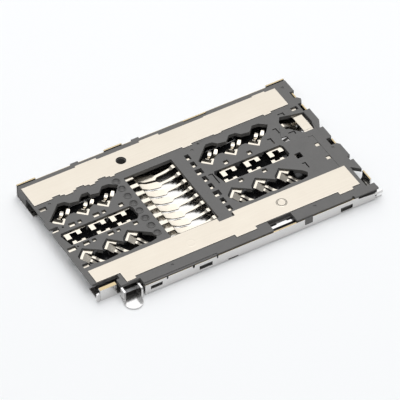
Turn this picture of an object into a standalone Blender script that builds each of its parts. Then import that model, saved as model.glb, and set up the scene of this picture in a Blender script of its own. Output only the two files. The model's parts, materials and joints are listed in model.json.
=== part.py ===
"""Combined SIM and memory card tray socket, solder side up.

A folded steel shell closes the lower side. The moulded housing above it holds two banks of SIM
contacts, a window of memory card contacts between them and a ground strip along each edge. A push
rod in the front rail turns a lever under the far end, which drives the tray out.
X runs from the tray's mouth to the lever, Y from the front rail to the rear one, Z is up.
"""

import math

import bmesh
import bpy
from mathutils import Vector

# Sheets and heights
SHEET = 0.15e-3
TRAY_GAP = 0.85e-3
PLATE = 0.44e-3
STRIP = 0.15e-3
STRIP_PROUD = 0.06e-3
SKIN = 0.16e-3
SWITCH_SKIN = 0.08e-3
CONTACT_SHEET = 0.10e-3
FIT = 0.02e-3
WALL_GAP = 0.09e-3
WALL_TOP_DROP = 0.22e-3

# Stations along X, from the mouth
MOUTH_TO_BANK = 1.51e-3
SIM_PITCH = 2.54e-3
FIRST_BANK_LAST_PITCH = 2.17e-3
BANK_TO_CARDS = 3.01e-3
CARD_WINDOW_LENGTH = 5.08e-3
CARDS_TO_BANK = 3.02e-3
BANK_TO_END = 6.67e-3
CORNER_LENGTH = 4.23e-3
INSET_LENGTH = 1.70e-3

# Stations along Y, from the contact centre line
SLOT_REAR = 1.34e-3
SLOT_FRONT = 0.46e-3
SLOT_LEAD_A = 0.66e-3
SLOT_LEAD_B = 0.20e-3
REAR_WEB = 0.96e-3
FRONT_WEB = 0.96e-3
WINDOW_DEPTH = 2.60e-3
FRONT_WINDOW_DEPTH = 2.30e-3
REAR_LAND = 0.75e-3
FRONT_LAND = 0.42e-3
REAR_STRIP_WIDTH = 2.55e-3
FRONT_STRIP_WIDTH = 2.65e-3
EAR_HALF = 0.30e-3
EAR_BEHIND = 0.30e-3
EAR_REACH = 0.92e-3
REAR_RIM = 0.54e-3
FRONT_RIM = 1.13e-3

# Memory card contacts
CARD_PITCH = 1.10e-3
CARD_COUNT = 8
CARD_FIRST_Y = 4.04e-3
CARD_STUB_LEAD = 0.60e-3
CARD_REAR_MARGIN = 0.76e-3
CARD_FRONT_MARGIN = 0.44e-3
CARD_STUB = 0.42e-3
CARD_STUB_LENGTH = 0.88e-3
CARD_BEAM_WIDTH = 0.68e-3
CARD_TIP_WIDTH = 0.26e-3
CARD_TONGUE = 1.60e-3
CARD_TONGUE_WIDTH = 0.42e-3
CARD_DIP = 0.54e-3

# SIM contacts
LEG_LENGTH = 1.10e-3
LEG_WIDTH = 0.25e-3
ARM_LENGTH = 0.88e-3
ARM_WIDTH = 0.20e-3
ARM_SLIT = 0.07e-3
FINGER_WIDTH = 0.32e-3
FINGER_OFFSET = 0.06e-3
FINGER_SPACING = 0.50e-3
FINGER_REACH = 1.72e-3
FINGER_DIP = 0.62e-3
BODY_DIP = 0.30e-3
CARRIER_WIDTH = 1.30e-3
LAST_CARRIER_WIDTH = 2.66e-3
TAIL_WIDTH = 0.13e-3
TAIL_SETBACK = 0.15e-3
PAD_WIDTH = 0.50e-3
PAD_LENGTH = 0.62e-3
HOLE = 0.50e-3
MARK_RADIUS = 0.36e-3
MARK_DEPTH = 0.16e-3
STUB_LENGTH = 1.35e-3
STUB_WIDTH = 0.42e-3
STUB_PLACE = 0.72e-3
HOOK_LINE = 0.14e-3

# Solder pads in the centre slot, of a rear and of a front contact: place along the bar, width, length
PADS_A = {
    1: ((-0.36e-3, PAD_WIDTH, PAD_LENGTH), (0.80e-3, 0.46e-3, 0.42e-3)),
    -1: ((-0.12e-3, 0.40e-3, 0.26e-3), (0.76e-3, 0.36e-3, 0.14e-3)),
}
PADS_B = {
    1: ((0.37e-3, PAD_WIDTH, PAD_LENGTH), (1.48e-3, 0.46e-3, 0.42e-3)),
    -1: ((0.14e-3, 0.40e-3, 0.26e-3), (1.02e-3, 0.36e-3, 0.14e-3)),
}

# Rails, rod and lever
REAR_RAIL = 1.54e-3
ROD_CHANNEL = 0.80e-3
RAIL_SKIN = 0.17e-3
INNER_RAIL = 0.35e-3
ROD_THICKNESS = 0.30e-3
ROD_HEIGHT = 0.85e-3
RUNNING_GAP = 0.05e-3
HEAD_LENGTH = 1.80e-3
HEAD_REACH = 1.90e-3
HEAD_LEG = 0.20e-3
HEAD_LEG_WIDTH = 0.65e-3
HEAD_LEG_HEIGHT = 1.28e-3
LEVER_SHEET = 0.30e-3
LEVER_WIDTH = 0.70e-3
LEVER_NOSE = 0.28e-3
LEVER_BOSS = 0.42e-3
LEVER_REAR_ARM = 4.80e-3
LEVER_FRONT_LEAN = math.radians(12.5)
LEVER_REAR_LEAN = math.radians(9.0)
PIVOT_FROM_END = 1.90e-3
PIVOT_TO_ROD = 5.07e-3
RIVET_RADIUS = 0.50e-3
RIVET_HEAD_RADIUS = 0.78e-3
RIVET_HEAD = 0.15e-3

# Detect switch
SWITCH_PAD_WIDTH = 0.95e-3
SWITCH_PAD_LENGTH = 2.05e-3
SWITCH_PAD_FROM_END = 1.07e-3
SWITCH_PAD_FRONT = 1.82e-3
SWITCH_PAD_LEAD = 0.18e-3
SWITCH_ROOM_LEFT = 1.50e-3
SWITCH_ROOM_RIGHT = 0.33e-3
SWITCH_ROOM_REAR = 0.91e-3
SWITCH_ANCHOR = 1.30e-3
SWITCH_STRIP_WIDTH = 0.50e-3
SWITCH_STRIP_FRONT = -3.90e-3
SWITCH_BLADE_WIDTH = 0.40e-3
SWITCH_BLADE_LENGTH = 3.10e-3
SWITCH_BLADE_LEAD = 2.58e-3
SWITCH_BLADE_ROOT = 1.40e-3
SWITCH_BLADE_DIP = 0.42e-3
SWITCH_BLADE_INSET = 0.25e-3

MM = 1e-3

# Heights above the underside
floor_top = SHEET
plate_low = floor_top + TRAY_GAP
plate_top = plate_low + PLATE
recess_floor = plate_top + STRIP_PROUD - STRIP - FIT
strip_low = recess_floor + FIT
strip_top = strip_low + STRIP
groove_roof = plate_top - SKIN
contact_top = groove_roof - FIT
switch_strip_top = plate_top - SWITCH_SKIN - FIT
wall_top = plate_top - WALL_TOP_DROP
rail_low = floor_top + FIT

# Stations that follow from the sizes
bank_a = [MOUTH_TO_BANK, MOUTH_TO_BANK + SIM_PITCH, MOUTH_TO_BANK + SIM_PITCH + FIRST_BANK_LAST_PITCH]
card_left = bank_a[-1] + BANK_TO_CARDS
card_right = card_left + CARD_WINDOW_LENGTH
bank_b = [card_right + CARDS_TO_BANK + step * SIM_PITCH for step in range(3)]
end = bank_b[-1] + BANK_TO_END
rear_corner = SLOT_REAR + REAR_WEB
front_corner = -(SLOT_FRONT + FRONT_WEB)
rear_strip_in = rear_corner + WINDOW_DEPTH + REAR_LAND
rear_strip_out = rear_strip_in + REAR_STRIP_WIDTH
rear_edge = rear_strip_out + REAR_RIM
front_strip_in = front_corner - FRONT_WINDOW_DEPTH - FRONT_LAND
front_strip_out = front_strip_in - FRONT_STRIP_WIDTH
front_edge = front_strip_out - FRONT_RIM
shell_front = front_edge - WALL_GAP - SHEET
shell_rear = rear_edge + WALL_GAP + SHEET
channel_front = front_edge + RAIL_SKIN
channel_rear = channel_front + ROD_CHANNEL
tray_front = channel_rear + INNER_RAIL
tray_rear = rear_edge - REAR_RAIL
rod_y = (channel_front + channel_rear) / 2 - 0.07 * MM
pivot = (end - PIVOT_FROM_END, rod_y + PIVOT_TO_ROD)
lever_room = pivot[0] - PIVOT_TO_ROD * math.sin(LEVER_REAR_LEAN) - LEVER_WIDTH
nose_x = pivot[0] + PIVOT_TO_ROD * math.sin(LEVER_FRONT_LEAN)
rod_end = nose_x - LEVER_NOSE - RUNNING_GAP
inset_y = front_strip_out
latch_low = wall_top - 0.75 * MM
shell_end = end - 0.18 * MM
tongue_end = end + 0.51 * MM
lip_x = -0.07 * MM
head_front = rod_y - HEAD_REACH
switch_fold = 0.30 * MM

FAR = 5e-3


def material(name, colour, roughness, metallic):
    made = bpy.data.materials.new(name)
    made.use_nodes = True
    shader = made.node_tree.nodes["Principled BSDF"]
    shader.inputs["Base Color"].default_value = (*colour, 1.0)
    shader.inputs["Roughness"].default_value = roughness
    shader.inputs["Metallic"].default_value = metallic
    return made


def add_prism(bm, outline, low, high, axis="Z"):
    """Adds a closed outline swept along an axis between two places."""
    place = {
        "Z": lambda a, b, c: (a, b, c),
        "Y": lambda a, b, c: (a, c, b),
        "X": lambda a, b, c: (c, a, b),
    }[axis]
    lower = [bm.verts.new(place(a, b, low)) for a, b in outline]
    upper = [bm.verts.new(place(a, b, high)) for a, b in outline]
    faces = [bm.faces.new(lower), bm.faces.new(upper)]
    for index in range(len(outline)):
        after = (index + 1) % len(outline)
        faces.append(bm.faces.new([lower[index], lower[after], upper[after], upper[index]]))
    bmesh.ops.recalc_face_normals(bm, faces=faces)


def add_turned(bm, x, y, profile, sides=24):
    """Adds a turned body: a ring for each radius and height, closed at both ends."""
    rings = []
    for radius, z in profile:
        rings.append([bm.verts.new((a, b, z)) for a, b in circle(x, y, radius, sides)])
    for below, above in zip(rings, rings[1:]):
        for side in range(sides):
            after = (side + 1) % sides
            bm.faces.new([below[side], below[after], above[after], above[side]])
    bm.faces.new(rings[0][::-1])
    bm.faces.new(rings[-1])


def rectangle(x0, x1, y0, y1):
    return [(x0, y0), (x1, y0), (x1, y1), (x0, y1)]


def around(x, y, width, depth):
    return rectangle(x - width / 2, x + width / 2, y - depth / 2, y + depth / 2)


def circle(x, y, radius, sides=16):
    turns = [2 * math.pi * side / sides for side in range(sides)]
    return [(x + radius * math.cos(turn), y + radius * math.sin(turn)) for turn in turns]


def arc(x, y, radius, start, stop, steps=4):
    turns = [math.radians(start + (stop - start) * step / steps) for step in range(steps + 1)]
    return [(x + radius * math.cos(turn), y + radius * math.sin(turn)) for turn in turns]


def grown(outline, margin):
    """The outline with every edge moved outwards by a margin."""
    count = len(outline)
    area = sum(
        outline[i][0] * outline[(i + 1) % count][1] - outline[(i + 1) % count][0] * outline[i][1]
        for i in range(count)
    )
    side = 1 if area > 0 else -1
    moved = []
    for i in range(count):
        before, here, after = (Vector(outline[(i + step) % count]) for step in (-1, 0, 1))
        first = (here - before).normalized()
        second = (after - here).normalized()
        first_out = side * Vector((first.y, -first.x))
        second_out = side * Vector((second.y, -second.x))
        mitre = first_out + second_out
        moved.append(tuple(here + mitre * (2 * margin / mitre.length_squared)))
    return moved


def stepped(x, edge, steps):
    """Points along an edge that steps in and out: each step is where it ends and how far out."""
    points = []
    for stop, out in steps:
        points += [(x, edge + out), (stop, edge + out)]
        x = stop
    return points


def solid(name, bm, look, parent=None, place=(0, 0, 0)):
    mesh = bpy.data.meshes.new(name)
    bm.to_mesh(mesh)
    bm.free()
    made = bpy.data.objects.new(name, mesh)
    bpy.context.scene.collection.objects.link(made)
    if look:
        mesh.materials.append(look)
    made.parent = parent
    made.location = place
    return made


def combine(target, name, bm, operation="DIFFERENCE", overlapping=False):
    """Cuts a hidden tool from the target, or joins it on."""
    tool = solid(f"{target.name}_{name}", bm, None, target.parent, target.location)
    tool.hide_render = True
    tool.display_type = "WIRE"
    change = target.modifiers.new(name, "BOOLEAN")
    change.operation = operation
    change.object = tool
    change.use_self = overlapping


def sheet_piece(name, faces, look, parent, place, side=1, thickness=CONTACT_SHEET):
    """A stamped and bent piece: faces that share points, thickened downwards."""
    bm = bmesh.new()
    for face in faces:
        corners = [bm.verts.new((x, y * side, z)) for x, y, z in face]
        bm.faces.new(corners if side > 0 else corners[::-1])
    bmesh.ops.remove_doubles(bm, verts=bm.verts, dist=1e-7)
    made = solid(name, bm, look, parent, place)
    thicken = made.modifiers.new("Sheet", "SOLIDIFY")
    thicken.thickness = thickness
    thicken.offset = -1
    return made


def ladder(rows):
    """Quads between rows of a left and a right point."""
    return [[first[0], first[1], second[1], second[0]] for first, second in zip(rows, rows[1:])]


# The two contact banks


def window_outline(corners, side):
    """One window round a row of contacts, as places outwards from the row's line of corners."""
    inner, outer = [], []
    reach = WINDOW_DEPTH if side > 0 else FRONT_WINDOW_DEPTH
    for number, x in enumerate(corners):
        last = number == len(corners) - 1
        if side > 0:
            inner += [(x - 0.76 * MM, 0.56 * MM), (x - 0.02 * MM, -0.10 * MM), (x + 0.60 * MM, 0.62 * MM)]
            if not last:
                inner += [(x + 1.10 * MM, 0.86 * MM), (corners[number + 1] - 0.99 * MM, 0.84 * MM)]
            outer += [(x + 0.12 * MM, 0.76 * reach), (x + 0.74 * MM, reach), (x + 1.42 * MM, 0.98 * reach)]
            outer += [] if last else [(corners[number + 1] - 0.72 * MM, 0.82 * reach)]
        else:
            inner += [(x - 0.86 * MM, 0.56 * MM), (x - 0.04 * MM, -0.16 * MM)]
            inner += [] if last else [(corners[number + 1] - 1.02 * MM, 0.98 * MM)]
            outer += [(x + 0.30 * MM, 0.94 * reach), (x + 1.10 * MM, reach)]
    first, final = corners[0], corners[-1]
    if side > 0:
        start = [(first - 0.98 * MM, 0.36 * reach)]
        stop = [(final + 1.45 * MM, 1.15 * MM), (final + 2.14 * MM, 0.76 * reach)]
    else:
        start = [(first - 0.90 * MM, 0.90 * MM), (first - 0.30 * MM, 0.88 * reach)]
        stop = [
            (final + 1.75 * MM, 1.20 * MM),
            (final + 2.08 * MM, 0.72 * reach),
            (final + 1.80 * MM, 0.94 * reach),
        ]
    line = rear_corner if side > 0 else front_corner
    return [(x, line + side * y) for x, y in inner + stop + outer[::-1] + start[::-1]]


def slot_outline(corners, lead):
    left, right = corners[0] - lead, corners[-1] + 1.88 * MM
    chamfer = 0.35 * MM
    return [
        (left, -SLOT_FRONT),
        (right - chamfer, -SLOT_FRONT),
        (right, -SLOT_FRONT + chamfer),
        (right, SLOT_REAR - chamfer),
        (right - chamfer / 2, SLOT_REAR),
        (left - chamfer / 2, SLOT_REAR),
        (left - chamfer, SLOT_REAR - chamfer),
    ]


def carrier_groove(x, side):
    """Where a contact is held under the web between its slot and its window."""
    web = REAR_WEB if side > 0 else FRONT_WEB
    line = rear_corner if side > 0 else front_corner
    inner, outer = line - side * (web + TAIL_SETBACK + FIT), line + side * 0.70 * MM
    return rectangle(x - 0.07 * MM, x + 0.40 * MM + carrier_width(x), min(inner, outer), max(inner, outer))


def carrier_width(x):
    return LAST_CARRIER_WIDTH if x == bank_b[-1] else CARRIER_WIDTH


def sim_contact(name, x, side, look, parent, pads, stub=0.0):
    """One SIM contact: carrier with solder pads, L-shaped root, sloping body and two curled fingers."""
    line = rear_corner if side > 0 else front_corner
    top, low = contact_top, contact_top - BODY_DIP
    leg = Vector((-0.70, 0.71)).normalized()
    arm = Vector((0.68, 0.73)).normalized()

    def at(along, over, height):
        point = arm * along + leg * over
        return (point.x, point.y, height)

    inner = ARM_WIDTH + ARM_SLIT
    root = ARM_LENGTH + 0.06 * MM
    flat = [at(0, LEG_LENGTH, top), at(0, 0, top)]
    flat += [(*point, top) for point in tail_outline(side, pads, stub, carrier_width(x))]
    flat += [at(ARM_LENGTH, 0, top), at(ARM_LENGTH, ARM_WIDTH, top), at(LEG_WIDTH, ARM_WIDTH, top)]
    flat += [at(LEG_WIDTH, inner, top), at(LEG_WIDTH, LEG_LENGTH, top)]

    # The body falls from the leg to the roots of the two fingers
    near = FINGER_OFFSET
    far = near + FINGER_SPACING
    shoulder = top - BODY_DIP * (ARM_LENGTH - LEG_WIDTH) / (root - LEG_WIDTH)
    body = [at(LEG_WIDTH, inner, top), at(ARM_LENGTH, inner, shoulder)]
    body += [at(root, over, low) for over in (near, near + FINGER_WIDTH, far, far + FINGER_WIDTH)]
    body += [at(root, LEG_LENGTH, low), at(LEG_WIDTH, LEG_LENGTH, top)]
    faces = [flat, body]
    depth = FINGER_DIP - BODY_DIP
    bends = ((0, 0, 1), (0.14, 0.10, 1), (0.50, 0.84, 0.95), (0.70, 1.0, 1), (0.80, 0.92, 1.1))
    bends += ((1.0, 0.45, 1.1),)
    for over, reach in ((near, FINGER_REACH), (far, FINGER_REACH * 0.72)):
        middle = over + FINGER_WIDTH / 2
        rows = []
        for share, drop, wide in bends:
            along, half = root + reach * share, FINGER_WIDTH / 2 * wide
            height = low - drop * depth
            rows.append((at(along, middle + half, height), at(along, middle - half, height)))
        faces += ladder(rows)
    return sheet_piece(name, faces, look, parent, (x, line, 0), side)


def tail_outline(side, pads, stub, width):
    """The carrier's edge from the L's corner round to its arm: side stub, then the bar and its pads."""
    left, right = 0.35 * MM, 0.35 * MM + width
    points = [(left, -0.28 * MM)]
    if stub:
        near, far = STUB_WIDTH - STUB_PLACE, -STUB_PLACE
        points += [(left, near), (-stub, near), (-stub, far), (left, far)]
    edge = -(REAR_WEB if side > 0 else FRONT_WEB) - TAIL_SETBACK
    bar = edge - TAIL_WIDTH
    start, stop = pads[0][0] - 0.55 * pads[0][1], pads[-1][0] + 0.55 * pads[-1][1]
    points += [(left, edge), (start, edge), (start, bar)]
    for middle, across, length in pads:
        points += [(middle - across / 2, bar), (middle - across / 2, bar - length)]
        points += [(middle + across / 2, bar - length), (middle + across / 2, bar)]
    points += [(stop, bar), (stop, edge), (right, edge), (right, 0.28 * MM), (0.95 * MM, 0.42 * MM)]
    return points


# The memory card contacts


def card_contact(name, y, look, parent):
    """A leaf from its solder stub at the left wall, down to the card and up under the right rib."""
    length = CARD_WINDOW_LENGTH
    top = contact_top
    lead, beam = CARD_STUB_LEAD, CARD_BEAM_WIDTH
    stub_end = CARD_STUB_LENGTH
    rows = [
        (-0.18 * MM, lead, CARD_STUB, top),
        (stub_end, lead, CARD_STUB, top),
        (stub_end + 0.18 * MM, lead * 0.8, beam, top - 0.80 * CARD_DIP),
        (0.35 * length, lead * 0.5, beam * 1.2, top - 0.95 * CARD_DIP),
        (0.53 * length, lead * 0.2, beam * 1.2, top - CARD_DIP),
        (0.60 * length, lead * 0.1, CARD_TIP_WIDTH, top - 0.90 * CARD_DIP),
        (length - 0.48 * MM, 0, CARD_TIP_WIDTH, top - 0.18 * MM),
        (length - 0.36 * MM, 0, CARD_TONGUE_WIDTH, top - 0.04 * MM),
        (length + CARD_TONGUE, 0, CARD_TONGUE_WIDTH, top - 0.04 * MM),
    ]
    pairs = [((x, off + width / 2, z), (x, off - width / 2, z)) for x, off, width, z in rows]
    return sheet_piece(name, ladder(pairs), look, parent, (card_left, y, 0))


def card_rows():
    return [CARD_FIRST_Y - number * CARD_PITCH for number in range(CARD_COUNT)]


# The ground strips


def rear_strip_outline():
    left, right = 0.27 * MM, end - 1.45 * MM
    inner = [
        (bank_a[0] + 0.72 * MM, 0), (bank_a[0] + 1.52 * MM, 0.20), (bank_a[0] + 1.92 * MM, 0),
        (bank_a[1] + 0.28 * MM, -0.19), (bank_a[1] + 0.68 * MM, 0), (bank_a[1] + 1.53 * MM, 0.20),
        (bank_a[1] + 1.98 * MM, 0), (bank_a[2] + 0.41 * MM, -0.19), (bank_a[2] + 0.81 * MM, 0),
        (bank_a[2] + 1.61 * MM, 0.20), (bank_a[2] + 2.01 * MM, 0), (bank_a[2] + 2.51 * MM, -0.17),
        (card_right + 1.67 * MM, 0), (card_right + 2.67 * MM, -0.20), (bank_b[0] + 2.10 * MM, 0),
        (bank_b[1] + 0.36 * MM, -0.12), (bank_b[2] + 2.42 * MM, 0), (bank_b[2] + 3.22 * MM, -0.20),
        (right, 0),
    ]
    outer = [
        (right - 1.10 * MM, 0), (right - 2.50 * MM, 0.14), (right - 7.90 * MM, 0.03),
        (card_right + 0.62 * MM, -0.05), (card_right - 1.48 * MM, 0.18), (card_left - 0.97 * MM, 0),
        (bank_a[1] + 1.98 * MM, 0.22), (left, 0.04),
    ]
    points = stepped(left, rear_strip_in, [(x, out * MM) for x, out in inner])
    return points + stepped(right, rear_strip_out, [(x, out * MM) for x, out in outer])


def front_strip_outline():
    left, right = 0.49 * MM, end - 1.25 * MM
    inner = [
        (card_left - 0.75 * MM, 0), (card_right - 0.28 * MM, -0.06), (card_right + 1.37 * MM, -0.51),
        (right, 0.04),
    ]
    outer = [
        (right - 0.85 * MM, -0.10), (right - 2.35 * MM, -0.40), (bank_b[0] - 0.72 * MM, 0),
        (bank_b[0] - 2.92 * MM, -0.38), (CORNER_LENGTH - 0.30 * MM, 0), (CORNER_LENGTH - 1.30 * MM, -0.30),
        (left, 1.00),
    ]
    points = stepped(left, front_strip_in, [(x, out * MM) for x, out in inner])
    return points + stepped(right, front_strip_out, [(x, out * MM) for x, out in outer])


def ear_places():
    """Feet of the strips that turn under the plate beside the mouth: x, edge and way inwards."""
    return [(0.80 * MM, rear_strip_in, -1), (0.78 * MM, front_strip_in, 1)]


def ground_strip(name, outline, ear, look, parent):
    bm = bmesh.new()
    add_prism(bm, outline, strip_low, strip_top)
    strip = solid(name, bm, look, parent)
    x, edge, way = ear
    foot = bmesh.new()
    near, far = edge - way * EAR_BEHIND, edge + way * EAR_REACH
    low, high = contact_top - STRIP, contact_top
    profile = [
        (near, strip_low + STRIP / 2),
        (near, low),
        (far, low),
        (far, high - FIT),
        (near + way * STRIP, high - FIT),
        (near + way * STRIP, strip_low + STRIP / 2),
    ]
    add_prism(foot, profile, x - EAR_HALF, x + EAR_HALF, "X")
    combine(strip, "foot", foot, "UNION")
    if name == "rear_ground_strip":
        hole = bmesh.new()
        add_prism(hole, circle(*strip_hole(), 0.50 * MM, 20), 0, FAR)
        combine(strip, "hole", hole)
    return strip


def strip_hole():
    return (card_left + 0.92 * MM, (rear_strip_in + rear_strip_out) / 2)


# The housing

# Where the far end's notches start and stop along Y, and how deep they are
END_NOTCHES = (
    (-3.70, -3.10, 0.32),
    (-1.10, -0.15, 0.82),
    (0.05, 1.50, 0.18),
    (4.20, 5.30, 0.65),
    (6.15, 7.05, 0.52),
)


# Corners of the far end that slant: where each starts and ends along Y, and how deep it gets
END_SLANTS = (
    (2.47, 1.46, 0.52),
    (0.40, -0.30, 0.32),
    (5.80, 6.25, 0.36),
    (5.75, 5.22, 0.24),
    (-1.40, -1.02, 0.32),
)


def hook(x, y, width, depth):
    """A thin right-angled slot."""
    right, low = x + width, y - depth
    inner_x, inner_y = right - HOOK_LINE, y - HOOK_LINE
    return [(x, y), (right, y), (right, low), (inner_x, low), (inner_x, inner_y), (x, inner_y)]


def hole_pair(x, width, depth):
    """A hole in the rear web of a bank and its partner in the front web."""
    return [
        around(x, rear_corner - 0.41 * MM, width, depth),
        around(x, front_corner + 0.54 * MM, width, depth * 0.9),
    ]


def small_holes():
    """The holes that show the contacts' carriers, and the row beside the memory card window."""
    holes = []
    for x in bank_a[:2]:
        holes += hole_pair(x + 0.68 * MM, HOLE * 1.35, HOLE)
        holes += hole_pair(x + 1.48 * MM, HOLE * 0.8, HOLE * 0.85)
    holes += hole_pair(bank_a[2] + 1.12 * MM, HOLE, HOLE)
    for x in bank_b[:2]:
        holes += hole_pair(x + 1.24 * MM, HOLE, HOLE)
    holes.append(around(bank_b[2] + 2.56 * MM, rear_corner - 0.55 * MM, 0.62 * MM, 0.66 * MM))
    holes.append(around(bank_b[2] + 2.50 * MM, front_corner + 0.66 * MM, 0.64 * MM, 0.70 * MM))
    for number in range(CARD_COUNT + 1):
        y = CARD_FIRST_Y + CARD_STUB_LEAD * 0.3 - number * CARD_PITCH
        width = HOLE * 1.45 if number in (2, 5) else HOLE * 0.92
        holes.append(around(card_right + 1.47 * MM, y, width, HOLE * 1.48))
    return holes


def housing_openings():
    """Everything cut right through the contact plate."""
    cuts = [window_outline(corners, side) for corners in (bank_a, bank_b) for side in (1, -1)]
    cuts += [slot_outline(bank_a, SLOT_LEAD_A), slot_outline(bank_b, SLOT_LEAD_B)]
    cuts.append(
        rectangle(
            card_left,
            card_right,
            CARD_FIRST_Y - (CARD_COUNT - 1) * CARD_PITCH - CARD_FRONT_MARGIN,
            CARD_FIRST_Y + CARD_REAR_MARGIN,
        )
    )
    cuts += small_holes()
    cuts.append(around(0.80 * MM, rear_strip_in - 0.70 * MM, 0.74 * MM, 0.46 * MM))
    cuts.append(around(0.78 * MM, front_strip_in + 0.78 * MM, 0.72 * MM, 0.50 * MM))
    cuts.append(rectangle(-FAR, 0.86 * MM, rear_corner - 0.58 * MM, rear_corner + 0.02 * MM))
    cuts.append(around(0.66 * MM, front_corner + 0.52 * MM, 0.86 * MM, 0.54 * MM))
    cuts.append(circle(bank_a[0] - 0.24 * MM, rear_corner - 0.31 * MM, 0.11 * MM, 8))
    cuts.append(circle(bank_a[0] - 0.22 * MM, front_corner + 0.55 * MM, 0.11 * MM, 8))
    cuts.append(circle(*strip_hole(), 0.44 * MM, 16))
    cuts.append(switch_opening())
    anchor_hole = SWITCH_PAD_FRONT + SWITCH_PAD_LENGTH + 0.80 * SWITCH_ANCHOR
    cuts.append(around(switch_pad_right() - 0.18 * MM, anchor_hole, 0.72 * MM, 0.46 * MM))
    cuts += [around(pivot[0], pivot[1] + step, 0.44 * MM, 0.44 * MM) for step in (0, 2.0 * MM)]
    cuts.append(
        [
            (end - 0.85 * MM, channel_rear - 0.42 * MM),
            (end + FAR, channel_rear - 0.42 * MM),
            (end + FAR, channel_rear + 1.75 * MM),
            (end - 0.05 * MM, channel_rear + 1.75 * MM),
            (end - 0.85 * MM, channel_rear + 2.45 * MM),
        ]
    )
    return cuts


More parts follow.
